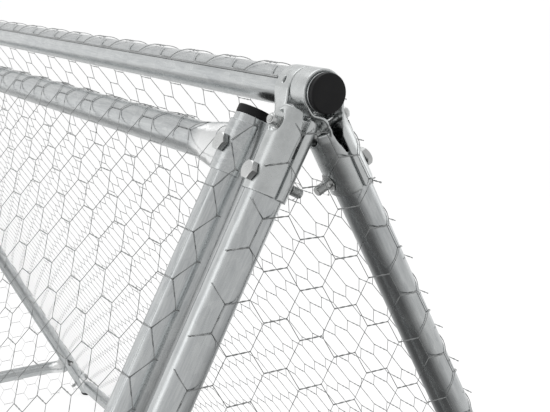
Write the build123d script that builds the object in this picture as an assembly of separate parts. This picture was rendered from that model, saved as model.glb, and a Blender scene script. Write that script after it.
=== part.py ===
from build123d import *
import os
from math import cos, radians, sin, sqrt, tan

# Tent-shaped chicken cage of galvanised tube with hexagon wire netting.
# Frame: +Z up, ridge along Y, front gable at -Y, door on the left slope at -X.
# The origin is on the ground, under the middle of the ridge. Units are millimetres.

# Tubes and overall size
tube_od = 38.0
tube_wall = 1.5
half_apex = 28.0            # angle of each slope from the vertical, degrees
ridge_height = 1320.0       # ridge axis above the ground
leg_spacing = 2400.0        # front leg plane to rear leg plane
ridge_overhang = 26.0       # ridge tube past the leg plane
leg_top = 66.5              # ridge axis to the upper end of a leg, along the slope
fit_gap = 0.1               # play between parts that seat on each other
pivot_gap = 0.3             # play of a hinge link on the sill tube

# Plastic caps and feet
cap_head = 7.4
cap_edge = 1.2              # bevel of the cap's rim
cap_plug = 22.0
foot_sole = 8.0
foot_flange = 1.0           # how far the sole stands proud of the tube
foot_plug = 40.0

# Pressed ridge brackets
sheet = 3.0                 # bracket sheet thickness
loop_width = 24.2
loop_parting = 0.4          # each loop's distance from the leg plane
loop_wrap = 50.0            # how far the loop goes on under the ridge, degrees
neck_start = 8.0            # along the slope, where the flat neck begins to dip
neck_front = 15.5           # height of the neck over the leg axis at the tail's top, front edge
neck_crest = 17.0           # the same at its middle
neck_rear = 12.4            # and at its rear edge
neck_reach = 23.5           # rear edge of the neck from the leg plane there
tail_top = 26.0             # upper edge of the outer tail
tail_round = 50.0           # where the outer tail has its full curl
tail_end = 107.0
tail_half_angle = 86.0      # half of the angle that a tail wraps the leg
shoulder_edge = 9.0         # height of the outer tail's free edge at its top
shoulder_run = 46.0         # where that edge has come down to the leg's side
strap_run = 2.0             # straight strap between the reverse bend and the inner tail
inner_flat = 9.0            # middle of the inner tail's recessed sheet from the leg axis
inner_step = 39.0           # where the recess ends on the loop's side
inner_step_edge = 8.3       # height of the inner tail's edge there
inner_round = 66.0          # where that edge has come up to the leg's side
slot_width = 4.0            # fixing slot in the loop
slot_length = 7.0
dimple_radius = 10.0        # seats of the upper bolt and its nut
dimple_floor = 5.0          # depth of the nut's seat below the crest of the tail

# Fasteners
bolt_d = 10.0
bolt_hole = 10.5
hex_af = 17.0
head_h = 6.4
nut_h = 8.0
nut_play = 0.05             # radial play between a nut and its bolt
thread_out = 8.0            # bolt end past the nut
upper_bolt = 40.0           # along the slope from the ridge axis
lower_bolt = 91.0
small_bolt_d = 8.0
small_bolt_hole = 8.5
small_hex_af = 13.0
small_head_h = 5.3
small_nut_h = 6.0           # hexagon part of a lock nut
collar_h = 3.6              # its round collar
collar_d = 11.8
small_thread_out = 1.6

# Rails with flattened saddle ends
saddle_length = 53.0
saddle_sheet = 2.0
saddle_half_angle = 83.6
flare_length = 78.0         # from the crossed tube's axis to the full round of the rail
flare_end = 30.0            # where the flattened end has its full height
flare_height = 53.0
flare_thickness = 19.0
cope_depth = 12.0           # end of the rail short of the crossed tube's axis
side_rail_rise = 58.0       # side rails above the ground end of a leg, along the slope
gable_rail_rise = 136.0

# Door panel on the left slope
door_gap = 33.0             # clear gap between a leg and the door stile
door_rail_drop = 73.0       # ridge axis to top rail axis, and sill axis to bottom rail axis
stile_overrun = 34.2        # stile end past the rail axis

# Hinge links on the sill
hinge_count = 3
hinge_spacing = 800.0
strap_width = 30.0
strap_sheet = 2.5
strap_parting = 1.0         # half of the gap between the two strap halves

# Turn latches on the left legs
latch_at = 700.0            # along the slope from the ridge axis
latch_saddle_length = 40.0
latch_sheet = 3.0
stop_width = 30.0
stop_reach = 15.0           # tongue past the stile axis
bar_width = 28.0
bar_reach = 94.0            # pivot to the bend of the bar
bar_sheet = 4.0
bar_tab = 18.0              # finger tab bent outward at the end of the bar
bar_play = 0.2

# Wire netting, as coarse hexagon sheets
net_pitch = 175.0           # hexagon across flats
net_bar = 3.0               # width of the bars between gaps
net_border = 5.0
net_sheet = 1.5
net_ground_gap = 12.0
net_loop_gap = 1.0          # right net short of the bracket loops
least_gap_area = 500.0

tube_r = tube_od / 2
seat_r = tube_r + fit_gap
tail_r = seat_r + sheet
slope = radians(half_apex)
front_y = -leg_spacing / 2
rear_y = leg_spacing / 2
foot_s = ridge_height / cos(slope)
side_rail_s = foot_s - side_rail_rise
gable_rail_s = foot_s - gable_rail_rise
stile_offset = tube_od + door_gap
door_bottom_s = side_rail_s - door_rail_drop
door_span = leg_spacing - 2 * stile_offset
saddle_r = seat_r + saddle_sheet
net_q = tube_r + fit_gap

END_Y = {"front": front_y, "rear": rear_y}
SIDE_X = {"left": -1, "right": 1}
OUTWARD_Y = {"front": -1, "rear": 1}


def slope_plane(side, y):
    """Plane on the ridge axis: X runs down the slope, Z points out of the cage."""
    sign = SIDE_X[side]
    down = (sign * sin(slope), 0, -cos(slope))
    outward = (sign * cos(slope), 0, sin(slope))
    return Plane(origin=(0, y, ridge_height), x_dir=down, z_dir=outward)


def gable_plane(end):
    """Plane in a gable, on the ridge axis: X runs straight down, Z points out of the cage."""
    outward = (0, OUTWARD_Y[end], 0)
    return Plane(origin=(0, END_Y[end], ridge_height), x_dir=(0, 0, -1), z_dir=outward)


def bar(radius, start, end):
    """Round bar along X."""
    return Pos((start + end) / 2, 0, 0) * Rot(0, 90, 0) * Cylinder(radius, end - start)


def tube(start, end):
    """Round tube along X."""
    return bar(tube_r, start, end) - bar(tube_r - tube_wall, start, end)


def drill(part, at, diameter, across="Z"):
    """Bolt hole through a part, square to the X axis."""
    hole = Cylinder(diameter / 2, 4 * tube_od)
    turn = Rot(0, 0, 0) if across == "Z" else Rot(90, 0, 0)
    return part - Pos(at, 0, 0) * turn * hole


def slab(low, high):
    """Horizontal layer of the whole plan, for cuts that are level with the ground."""
    side = 4 * (leg_spacing + ridge_height)
    return Pos(0, 0, (low + high) / 2) * Box(side, side, high - low)


def half_ring(inner, outer, half_angle, start, end, flip=False):
    """Part of a tube wall along X, centred on +Z, or on -Z where flip is set."""
    reach = radians(half_angle)
    up = -1 if flip else 1

    def point(radius, angle):
        return (radius * sin(angle), up * radius * cos(angle))

    rim = ThreePointArc(point(outer, -reach), point(outer, 0), point(outer, reach))
    bore = ThreePointArc(point(inner, reach), point(inner, 0), point(inner, -reach))
    ends = [Line(rim @ 1, bore @ 0), Line(bore @ 1, rim @ 0)]
    face = make_face([rim, ends[0], bore, ends[1]])
    return extrude(Plane.YZ.offset(start) * face, end - start)


def curl_section(at, low, high, flip=False):
    """Bracket sheet across X, curled round the leg between two angles from the crest towards +Y."""
    up = -1 if flip else 1
    middle = (low + high) / 2

    def point(radius, angle):
        return (radius * sin(radians(angle)), up * radius * cos(radians(angle)))

    rim = ThreePointArc(point(tail_r, low), point(tail_r, middle), point(tail_r, high))
    bore = ThreePointArc(point(seat_r, high), point(seat_r, middle), point(seat_r, low))
    face = make_face([rim, Line(rim @ 1, bore @ 0), bore, Line(bore @ 1, rim @ 0)])
    return Plane.YZ.offset(at) * face


def hex_prism(across_flats, low, high):
    """Hexagon along Z."""
    profile = RegularPolygon(across_flats / 2, 6, major_radius=False)
    return Pos(0, 0, low) * extrude(profile, high - low)


def hex_bolt(diameter, across_flats, head, seat, end):
    """Bolt along Z: the head stands on the seat height and the shank runs down to the end height."""
    shank = Pos(0, 0, (seat + end) / 2) * Cylinder(diameter / 2, seat - end)
    tip = shank.faces().sort_by(Axis.Z)[0].edges()
    return hex_prism(across_flats, seat, seat + head) + chamfer(tip, diameter / 10)


def hex_nut(diameter, across_flats, low, high):
    """Nut along Z on a bolt of the given diameter."""
    bore = Pos(0, 0, (low + high) / 2) * Cylinder(diameter / 2 + nut_play, 2 * (high - low))
    return hex_prism(across_flats, low, high) - bore


def lock_nut(low):
    """Small nut with a round collar along Z, from the given height up."""
    high = low + small_nut_h + collar_h
    middle = (low + high) / 2
    body = hex_prism(small_hex_af, low, low + small_nut_h)
    body += Pos(0, 0, middle) * Cylinder(collar_d / 2, high - low)
    return body - Pos(0, 0, middle) * Cylinder(small_bolt_d / 2 + nut_play, 2 * (high - low))


def end_cap():
    """Tube cap along X: the head runs from 0 to minus its thickness, the plug fits the bore."""
    head = bar(tube_r - fit_gap, -cap_head, 0)
    rim = head.faces().sort_by(Axis.X)[0].edges()
    plug = bar(tube_r - tube_wall - fit_gap, 0, cap_plug)
    return chamfer(rim, cap_edge) + plug


def neck_section():
    """Bracket sheet across X at the outer tail's top, on the loop's side of the leg plane."""
    middle = -neck_reach / 2
    rim = ThreePointArc((-neck_reach, neck_rear), (middle, neck_crest), (0, neck_front))
    bore = ThreePointArc((0, neck_front - sheet), (middle, neck_crest - sheet),
                         (-neck_reach, neck_rear - sheet))
    face = make_face([rim, Line(rim @ 1, bore @ 0), bore, Line(bore @ 1, rim @ 0)])
    return Plane.YZ.offset(tail_top) * face


def recess_plan(start, margin, depth):
    """Plan of the inner tail's recess, open on the loop's side, with a round end about the upper bolt."""
    wide = depth + dimple_radius + margin
    length = inner_step + margin - start
    block = Pos(start + length / 2, dimple_radius + margin - wide / 2) * Rectangle(length, wide)
    return block + Pos(upper_bolt, 0) * Circle(dimple_radius + margin)


def ridge_bracket():
    """Strap bracket on a slope plane: a loop round the ridge and two tails that cup the leg."""
    mid_r = seat_r + sheet / 2
    low_y = -loop_parting - loop_width
    high_y = -loop_parting
    mid_y = (low_y + high_y) / 2
    wrap = radians(loop_wrap)

    # The strap: flat neck, loop over the ridge, and a reverse bend below it.
    loop_end = (mid_r * sin(wrap), -mid_r * cos(wrap))
    bend_r = (abs(loop_end[1]) - inner_flat) / (1 - cos(wrap))
    bend_end = (loop_end[0] + bend_r * sin(wrap), -inner_flat)
    half = wrap / 2
    bend_mid = (bend_end[0] - bend_r * sin(half), -inner_flat - bend_r * (1 - cos(half)))
    turn_mid = radians((180 + loop_wrap) / 2)
    inner_top = bend_end[0] + strap_run
    path = Line((neck_start, mid_r), (0, mid_r))
    path += ThreePointArc((0, mid_r), (-mid_r * sin(turn_mid), mid_r * cos(turn_mid)), loop_end)
    path += ThreePointArc(loop_end, bend_mid, bend_end)
    path += Line(bend_end, (inner_top, -inner_flat))
    start = Plane(origin=(neck_start, mid_y, mid_r), x_dir=(0, 1, 0), z_dir=(-1, 0, 0))
    part = sweep(start * Rectangle(loop_width, sheet), Plane.XZ.offset(-mid_y) * path)

    # Outer tail: the neck dips and curls on the loop's side, the free side is a round shoulder.
    flat_neck = Plane.YZ.offset(neck_start) * Pos(mid_y, mid_r) * Rectangle(loop_width, sheet)
    part += loft([flat_neck, neck_section()])
    part += loft([neck_section(), curl_section(tail_round, -tail_half_angle, 0)])
    low_edge = seat_r * cos(radians(tail_half_angle))
    relief = Polyline((tail_top, shoulder_edge), (shoulder_run, low_edge), (shoulder_run, -tail_r),
                      (tail_top, -tail_r), close=True)
    shoulder = extrude(curl_section(tail_top, 0, tail_half_angle), tail_end - tail_top)
    part += shoulder - extrude(Plane.XZ * make_face(relief), 2 * tail_r, dir=(0, 1, 0))
    part += extrude(curl_section(tail_round, -tail_half_angle, 0), tail_end - tail_round)

    # Pressed seat for the upper nut, without a wall where the neck runs into it.
    floor = tail_r - dimple_floor
    cup = Pos(upper_bolt, 0, floor - sheet) * extrude(Circle(dimple_radius + sheet), tail_r)
    cup -= Pos(upper_bolt - tail_r, -tail_r, floor + tail_r) * Box(2 * tail_r, 2 * tail_r, 2 * tail_r)
    part += cup & bar(mid_r, tail_top, tail_end)
    part -= Pos(upper_bolt, 0, floor) * extrude(Circle(dimple_radius), tail_r)

    # Inner tail: round on its free side, recessed at its top for the other bracket and the bolt.
    part += extrude(curl_section(inner_top, 0, tail_half_angle, flip=True), tail_end - inner_top)
    cupped = extrude(curl_section(inner_step, -tail_half_angle, 0, flip=True), tail_end - inner_step)
    relief = Polyline((inner_step, -inner_step_edge), (inner_round, -low_edge), (inner_round, tail_r),
                      (inner_step, tail_r), close=True)
    part += cupped - extrude(Plane.XZ * make_face(relief), 2 * tail_r, dir=(0, -1, 0))
    floor = inner_flat - sheet / 2
    reach = sqrt(tail_r ** 2 - inner_flat ** 2)
    cup = Pos(0, 0, -floor) * extrude(recess_plan(inner_top, sheet, 2 * tail_r), -tail_r)
    part += cup & bar(mid_r, inner_top, tail_end)
    plate_end = inner_step + sheet
    plate = Polyline((inner_top, low_y), (plate_end, -reach), (plate_end, 0), (inner_top, 0), close=True)
    part += Pos(0, 0, -floor) * extrude(make_face(plate), sheet, dir=(0, 0, -1))
    part -= Pos(0, 0, -floor - sheet) * extrude(recess_plan(inner_top, 0, 2 * tail_r), -tail_r)

    # Bolt holes and the fixing slot in the loop.
    part = drill(part, upper_bolt, small_bolt_hole)
    part = drill(part, lower_bolt, bolt_hole)
    slot = Pos(0, mid_y, 0) * extrude(SlotOverall(slot_length, slot_width), 2 * tail_r)
    return part - slot


def flare_solid(root, tip, inset):
    """Flattened rail end: round at the root plane, an ellipse at the tip plane and on towards the crossed tube."""
    flat = tip * Ellipse(flare_height / 2 - inset, flare_thickness / 2 - inset)
    return loft([root * Circle(tube_r - inset), flat]) + extrude(flat, flare_end - cope_depth)


def saddle_rail(span, tilt=0.0):
    """Rail along Y between two crossed tubes; its flattened ends wrap their outer half.

    The crossed tubes run along X, turned by the tilt so that they spread towards +X.
    """
    half = span / 2
    lean = radians(tilt)
    straight = half - flare_length
    turned = Rot(0, 0, 90)
    outside = turned * bar(tube_r, -straight, straight)
    inside = turned * bar(tube_r - tube_wall, -straight, straight)
    saddles = []
    crossed = []
    for sign in (-1, 1):
        end = Plane(origin=(0, sign * half, 0), x_dir=(cos(lean), sign * sin(lean), 0))
        shift = -seat_r * tan(lean)
        root = Plane(origin=(0, sign * straight, 0), x_dir=(1, 0, 0), z_dir=(0, sign, 0))
        tip_at = end.from_local_coords((shift, -sign * flare_end, 0))
        tip = Plane(origin=tip_at, x_dir=end.x_dir, z_dir=end.y_dir * sign)
        outside += flare_solid(root, tip, 0)
        inside += flare_solid(root, tip, tube_wall)
        low = shift - saddle_length / 2
        shell = half_ring(seat_r, saddle_r, saddle_half_angle, low, low + saddle_length)
        saddles.append(end * drill(shell, shift, bolt_hole))
        crossed.append(end * bar(seat_r, -2 * flare_height, 2 * flare_height))
    rail = outside - inside
    for tube_cut in crossed:
        rail -= tube_cut
    for shell in saddles:
        rail += shell
    return rail


def rail_bolt_places(span, tilt=0.0):
    """Where the two bolts of a saddle rail go, on the rail's own plane."""
    lean = radians(tilt)
    shift = -seat_r * tan(lean)
    places = []
    for sign in (-1, 1):
        end = Plane(origin=(0, sign * span / 2, 0), x_dir=(cos(lean), sign * sin(lean), 0))
        places.append(end.location * Pos(shift, 0, 0))
    return places


def hinge_strap(flip):
    """Half of a hinge link along Y: it cups the bottom rail at 0 and turns on the sill tube further down."""
    up = -1 if flip else 1
    loose_r = tube_r + pivot_gap
    outer_rail = seat_r + strap_sheet
    outer_sill = loose_r + strap_sheet
    flat_low = strap_parting
    flat_high = strap_parting + strap_sheet
    block = Pos(door_rail_drop / 2, 0) * Rectangle(door_rail_drop, 2 * flat_high)
    profile = Circle(outer_rail) + Pos(door_rail_drop, 0) * Circle(outer_sill) + block
    profile -= Circle(seat_r)
    profile -= Pos(door_rail_drop, 0) * Circle(loose_r)
    keep_reach = door_rail_drop + 4 * outer_sill
    keep = Pos(door_rail_drop / 2, up * (flat_low + keep_reach / 2)) * Rectangle(keep_reach, keep_reach)
    profile = profile & keep
    strap = extrude(Plane.XZ * profile, strap_width / 2, both=True)
    return drill(strap, door_rail_drop / 2, small_bolt_hole)


def latch_stop():
    """Inner half-shell on a leg with a tongue that reaches behind the door stile, towards +Y."""
    outer = seat_r + latch_sheet
    half_length = latch_saddle_length / 2
    shell = half_ring(seat_r, outer, saddle_half_angle, -half_length, half_length, flip=True)
    reach = stile_offset + stop_reach
    tongue = Pos(0, reach / 2, -(seat_r + outer) / 2) * Box(stop_width, reach, latch_sheet)
    return drill(shell + tongue, 0, bolt_hole)


def latch_bar():
    """Turn bar that hangs down the slope from its pivot, with a finger tab bent outward."""
    low = seat_r + latch_sheet + bar_play
    blank = Pos(bar_reach / 2, 0) * Rectangle(bar_reach, bar_width) + Circle(bar_width / 2)
    plate = Pos(0, 0, low) * extrude(blank, bar_sheet)
    tab = Pos(bar_reach - bar_sheet / 2, 0, low + (bar_tab + bar_sheet) / 2)
    plate += tab * Box(bar_sheet, bar_width, bar_tab + bar_sheet)
    corners = plate.edges().filter_by(Axis.X).sort_by(Axis.Z)[-2:]
    plate = fillet(corners, bar_width / 4)
    return drill(plate, 0, bolt_hole)


def clip_convex(points, outline):
    """Part of a convex polygon that lies inside a convex outline given counter-clockwise."""
    for a, b in zip(outline, outline[1:] + outline[:1]):
        kept = []
        for p, q in zip(points, points[1:] + points[:1]):
            side_p = (b[0] - a[0]) * (p[1] - a[1]) - (b[1] - a[1]) * (p[0] - a[0])
            side_q = (b[0] - a[0]) * (q[1] - a[1]) - (b[1] - a[1]) * (q[0] - a[0])
            if side_p >= 0:
                kept.append(p)
            if side_p * side_q < 0:
                t = side_p / (side_p - side_q)
                kept.append((p[0] + t * (q[0] - p[0]), p[1] + t * (q[1] - p[1])))
        points = kept
        if len(points) < 3:
            return []
    return points


def polygon_area(points):
    """Area of a polygon, positive when its points run counter-clockwise."""
    pairs = zip(points, points[1:] + points[:1])
    return sum(p[0] * q[1] - q[0] * p[1] for p, q in pairs) / 2


def inset_outline(points, distance):
    """Convex outline moved inward by a distance."""
    lines = []
    for p, q in zip(points, points[1:] + points[:1]):
        length = sqrt((q[0] - p[0]) ** 2 + (q[1] - p[1]) ** 2)
        normal = (-(q[1] - p[1]) / length, (q[0] - p[0]) / length)
        lines.append((normal, normal[0] * p[0] + normal[1] * p[1] + distance))
    corners = []
    for (n1, c1), (n2, c2) in zip(lines[-1:] + lines[:-1], lines):
        det = n1[0] * n2[1] - n1[1] * n2[0]
        corners.append(((c1 * n2[1] - c2 * n1[1]) / det, (n1[0] * c2 - n2[0] * c1) / det))
    return corners


def hex_net(outline):
    """Flat sheet of hexagon gaps; two sides of each hexagon run along Y."""
    inner = inset_outline(outline, net_border)
    gap_r = (net_pitch - net_bar) / sqrt(3)
    column = net_pitch * sqrt(3) / 2
    xs = [p[0] for p in outline]
    ys = [p[1] for p in outline]
    mid_y = (min(ys) + max(ys)) / 2
    rows = int((max(xs) - min(xs)) / net_pitch) + 2
    columns = int((max(ys) - min(ys)) / column / 2) + 2
    gaps = []
    for j in range(-columns, columns + 1):
        shift = net_pitch / 2 if j % 2 else 0.0
        for i in range(-1, rows + 1):
            cx = min(xs) + i * net_pitch + shift
            cy = mid_y + j * column
            corners = [(cx + gap_r * sin(radians(60 * k)), cy + gap_r * cos(radians(60 * k)))
                       for k in range(6)]
            if polygon_area(corners) < 0:
                corners.reverse()
            gap = clip_convex(corners, inner)
            if len(gap) > 2 and polygon_area(gap) > least_gap_area:
                gaps.append(Wire.make_polygon([(p[0], p[1], 0) for p in gap]))
    rim = Wire.make_polygon([(p[0], p[1], 0) for p in outline])
    return extrude(Face(rim, gaps), net_sheet, dir=(0, 0, 1))


parts = {}


def add(name, shape):
    """Keep a part under its node name."""
    parts[name] = shape


def add_group(name, shapes):
    """Keep identical loose pieces together under one node name."""
    parts[name] = Compound(children=list(shapes))


# Ridge
ridge = Rot(0, 0, 90) * tube(front_y - ridge_overhang, rear_y + ridge_overhang)
add("ridge_tube", Pos(0, 0, ridge_height) * ridge)
for end, y in END_Y.items():
    facing = OUTWARD_Y[end]
    place = Plane(origin=(0, y + facing * ridge_overhang, ridge_height), x_dir=(0, -facing, 0))
    add(f"ridge_cap_{end}", place * end_cap())

# Legs, feet and ridge brackets
bracket = ridge_bracket()
upper_bolts = []
upper_nuts = []
lower_bolts = []
lower_nuts = []
upper_seat = inner_flat + sheet / 2 + fit_gap
upper_nut = tail_r - dimple_floor + fit_gap
for end, y in END_Y.items():
    for side in SIDE_X:
        plane = slope_plane(side, y)
        stock = tube(leg_top, foot_s + tube_od)
        stock = drill(stock, lower_bolt, bolt_hole)
        stock = drill(stock, side_rail_s, bolt_hole)
        stock = drill(stock, gable_rail_s - seat_r * tan(slope), bolt_hole, across="Y")
        if side == "left":
            stock = drill(stock, latch_at, bolt_hole)
        add(f"leg_{end}_{side}", plane * stock - slab(-2 * tube_od, foot_sole))
        sole = plane * bar(tube_r + foot_flange, foot_s - 2 * tube_od, foot_s + 2 * tube_od)
        plug = plane * bar(tube_r - tube_wall - fit_gap, foot_s - foot_plug, foot_s + 2 * tube_od)
        foot = (sole & slab(0, foot_sole)) + (plug & slab(0, ridge_height))
        add(f"foot_{end}_{side}", foot)
        add(f"ridge_bracket_{end}_{side}", plane * bracket)
        turned = plane.location * Pos(upper_bolt, 0, 0)
        inward = turned * Rot(180, 0, 0)
        upper_bolts.append(inward * hex_bolt(small_bolt_d, small_hex_af, small_head_h, upper_seat,
                                             -upper_nut - small_nut_h - collar_h - small_thread_out))
        upper_nuts.append(turned * lock_nut(upper_nut))
        place = plane.location * Pos(lower_bolt, 0, 0)
        lower_bolts.append(place * hex_bolt(bolt_d, hex_af, head_h, tail_r, -tail_r - nut_h - thread_out))
        lower_nuts.append(place * hex_nut(bolt_d, hex_af, -tail_r - nut_h, -tail_r))
add_group("bracket_bolts_upper", upper_bolts)
add_group("bracket_nuts_upper", upper_nuts)
add_group("bracket_bolts_lower", lower_bolts)
add_group("bracket_nuts_lower", lower_nuts)

# Base rails
rail_bolts = []
rail_nuts = []


def fix_rail(location, span, tilt, bolts, nuts):
    """Bolts and nuts for both ends of a saddle rail."""
    for place in rail_bolt_places(span, tilt):
        spot = location * place
        bolts.append(spot * hex_bolt(bolt_d, hex_af, head_h, saddle_r, -seat_r - nut_h - thread_out))
        nuts.append(spot * hex_nut(bolt_d, hex_af, -seat_r - nut_h, -seat_r))


side_rail = saddle_rail(leg_spacing)
for side, name in (("left", "sill_rail_left"), ("right", "base_rail_right")):
    location = slope_plane(side, 0).location * Pos(side_rail_s, 0, 0)
    add(name, location * side_rail)
    fix_rail(location, leg_spacing, 0.0, rail_bolts, rail_nuts)

gable_span = 2 * gable_rail_s * sin(slope)
gable_rail = saddle_rail(gable_span, half_apex)
for end in END_Y:
    location = gable_plane(end).location * Pos(gable_rail_s * cos(slope), 0, 0)
    add(f"base_rail_{end}", location * gable_rail)
    fix_rail(location, gable_span, half_apex, rail_bolts, rail_nuts)
add_group("rail_bolts", rail_bolts)
add_group("rail_nuts", rail_nuts)

# Door panel
door_plane = slope_plane("left", 0)
stile_start = door_rail_drop - stile_overrun
stile_end = door_bottom_s + stile_overrun
for end, y in END_Y.items():
    stile_y = y - OUTWARD_Y[end] * stile_offset
    plane = slope_plane("left", stile_y)
    stock = tube(stile_start, stile_end)
    stock = drill(stock, door_rail_drop, bolt_hole)
    stock = drill(stock, door_bottom_s, bolt_hole)
    add(f"door_stile_{end}", plane * stock)
    add(f"door_cap_{end}_top", plane.location * Pos(stile_start, 0, 0) * end_cap())
    add(f"door_cap_{end}_bottom", plane.location * Pos(stile_end, 0, 0) * Rot(0, 180, 0) * end_cap())

door_rail = saddle_rail(door_span)
door_bolts = []
door_nuts = []
for name, at in (("door_top_rail", door_rail_drop), ("door_bottom_rail", door_bottom_s)):
    location = door_plane.location * Pos(at, 0, 0)
    add(name, location * door_rail)
    fix_rail(location, door_span, 0.0, door_bolts, door_nuts)
add_group("door_bolts", door_bolts)
add_group("door_nuts", door_nuts)

# Hinge links
hinge_bolts = []
hinge_nuts = []
outer_strap = hinge_strap(False)
inner_strap = hinge_strap(True)
strap_face = strap_parting + strap_sheet
for number in range(hinge_count):
    y = (number - (hinge_count - 1) / 2) * hinge_spacing
    location = slope_plane("left", y).location * Pos(door_bottom_s, 0, 0)
    add(f"hinge_strap_outer_{number + 1}", location * outer_strap)
    add(f"hinge_strap_inner_{number + 1}", location * inner_strap)
    spot = location * Pos(door_rail_drop / 2, 0, 0)
    hinge_bolts.append(spot * hex_bolt(small_bolt_d, small_hex_af, small_head_h, strap_face,
                                       -strap_face - small_nut_h - collar_h - small_thread_out))
    hinge_nuts.append(spot * Rot(180, 0, 0) * lock_nut(strap_face))
add_group("hinge_bolts", hinge_bolts)
add_group("hinge_nuts", hinge_nuts)

# Turn latches
stop = latch_stop()
bar_part = latch_bar()
latch_r = seat_r + latch_sheet
latch_half = latch_saddle_length / 2
latch_saddle = drill(half_ring(seat_r, latch_r, saddle_half_angle, -latch_half, latch_half), 0, bolt_hole)
pivot_seat = latch_r + bar_sheet + 2 * bar_play
pivots = []
pivot_nuts = []
for end, y in END_Y.items():
    place = slope_plane("left", y).location * Pos(latch_at, 0, 0)
    towards_door = Rot(0, 0, 0) if end == "rear" else Rot(0, 0, 180)
    add(f"latch_saddle_{end}", place * latch_saddle)
    add(f"latch_stop_{end}", place * towards_door * stop)
    add(f"latch_bar_{end}", place * bar_part)
    pivots.append(place * hex_bolt(bolt_d, hex_af, head_h, pivot_seat, -latch_r - nut_h - thread_out))
    pivot_nuts.append(place * hex_nut(bolt_d, hex_af, -latch_r - nut_h, -latch_r))
add_group("latch_pivots", pivots)
add_group("latch_nuts", pivot_nuts)

# Netting
loop_clear = leg_spacing / 2 - loop_parting - loop_width - net_loop_gap
slope_end = foot_s - net_ground_gap / cos(slope)
right_outline = [(0, -loop_clear), (slope_end, -loop_clear), (slope_end, loop_clear), (0, loop_clear)]
add("right_net", slope_plane("right", 0).location * Pos(0, 0, net_q) * hex_net(right_outline))

edge_clear = sqrt(tail_r ** 2 - net_q ** 2) + fit_gap
door_side = door_span / 2 - edge_clear
door_low = door_bottom_s - edge_clear
door_outline = [(door_rail_drop, -door_side), (door_low, -door_side),
                (door_low, door_side), (door_rail_drop, door_side)]
add("door_net", door_plane.location * Pos(0, 0, net_q) * hex_net(door_outline))

net_top = (tail_end + edge_clear) * cos(slope)
net_bottom = ridge_height - net_ground_gap
side_inset = edge_clear / cos(slope)
top_half = net_top * tan(slope) - side_inset
bottom_half = net_bottom * tan(slope) - side_inset
gable_outline = [(net_top, -top_half), (net_bottom, -bottom_half),
                 (net_bottom, bottom_half), (net_top, top_half)]
gable_net = hex_net(gable_outline)
for end in END_Y:
    add(f"gable_net_{end}", gable_plane(end).location * Pos(0, 0, net_q) * gable_net)

os.makedirs("parts", exist_ok=True)
for name, shape in parts.items():
    export_step(shape, f"parts/{name}.step")
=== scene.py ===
import contextlib
import math

import bmesh
import bpy
from mathutils import Matrix, Vector


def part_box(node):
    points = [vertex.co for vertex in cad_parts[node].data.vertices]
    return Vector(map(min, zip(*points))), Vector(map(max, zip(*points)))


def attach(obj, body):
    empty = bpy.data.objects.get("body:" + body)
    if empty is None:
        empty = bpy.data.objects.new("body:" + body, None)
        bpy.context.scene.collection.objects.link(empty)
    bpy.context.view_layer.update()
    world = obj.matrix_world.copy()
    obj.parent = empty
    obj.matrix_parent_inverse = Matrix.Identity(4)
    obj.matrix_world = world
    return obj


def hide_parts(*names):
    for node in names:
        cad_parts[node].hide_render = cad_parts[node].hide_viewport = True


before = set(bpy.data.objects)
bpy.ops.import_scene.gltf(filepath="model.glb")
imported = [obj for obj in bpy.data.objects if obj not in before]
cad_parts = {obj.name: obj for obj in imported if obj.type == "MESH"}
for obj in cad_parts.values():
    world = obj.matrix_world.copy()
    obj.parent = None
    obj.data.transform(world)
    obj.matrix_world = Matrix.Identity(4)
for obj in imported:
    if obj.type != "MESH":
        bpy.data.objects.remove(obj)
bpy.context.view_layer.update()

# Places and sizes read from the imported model, in metres
ridge_low, ridge_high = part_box("ridge_tube")
leg_low, leg_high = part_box("leg_front_left")
tube_r = (ridge_high.z - ridge_low.z) / 2
ridge_height = (ridge_high.z + ridge_low.z) / 2
ridge_end = (ridge_high.y - ridge_low.y) / 2
leg_y = abs(leg_low.y + leg_high.y) / 2
half_apex = math.radians(28)
slope_sin = math.sin(half_apex)
slope_cos = math.cos(half_apex)
foot_s = ridge_height / slope_cos
ends = ((-1, "front"), (1, "rear"))
hands = ((-1, "left"), (1, "right"))

# Photographed view: where the camera stands, which way it looks and how wide
view_azimuth = math.radians(-31.752)
view_elevation = math.radians(13.002)
view_apex_distance = 0.99192
view_right = -0.03171
view_up = -0.10768
view_focal_pixels = 1068.30
photo_width = 550
sensor_width = 36.0

# Surroundings: the floor, its darker spots, the backdrop, and where each changes from front to rear
floor_reach = 60.0
floor_white = 0.80
floor_tone = 0.42
floor_rough = 0.9
floor_depth = (-4.0, 2.0)
mat_centre = (-0.45, -1.35, 0.0)
mat_span = (0.75, 3.1)
mat_tone = 0.13
patch_centre = (-1.1, 2.4, 0.0)
patch_span = (0.8, 2.0)
patch_tone = 0.52
front_tone = 0.65
rear_tone = 0.92
zenith_tone = 0.72
sky_level = 0.5
sky_depth = (-1.0, 0.3)
sky_rise = (0.1, 0.6)
white = (1.0, 1.0, 1.0, 1.0)
black = (0.0, 0.0, 0.0, 1.0)

# Soft boxes: place, point that they face, width and height, power in watts
softboxes = {
    "key_softbox": ((-2.96, -0.05, 2.03), (-0.12, -1.2, 1.1), (1.3, 2.4), 6.2),
    "side_softbox": ((3.2, -0.9, 2.42), (0.0, -0.3, 0.82), (1.6, 2.6), 9.0),
    "top_softbox": ((0.0, 0.3, 3.82), (0.0, -0.3, 1.02), (2.5, 2.5), 20.0),
}

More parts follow.
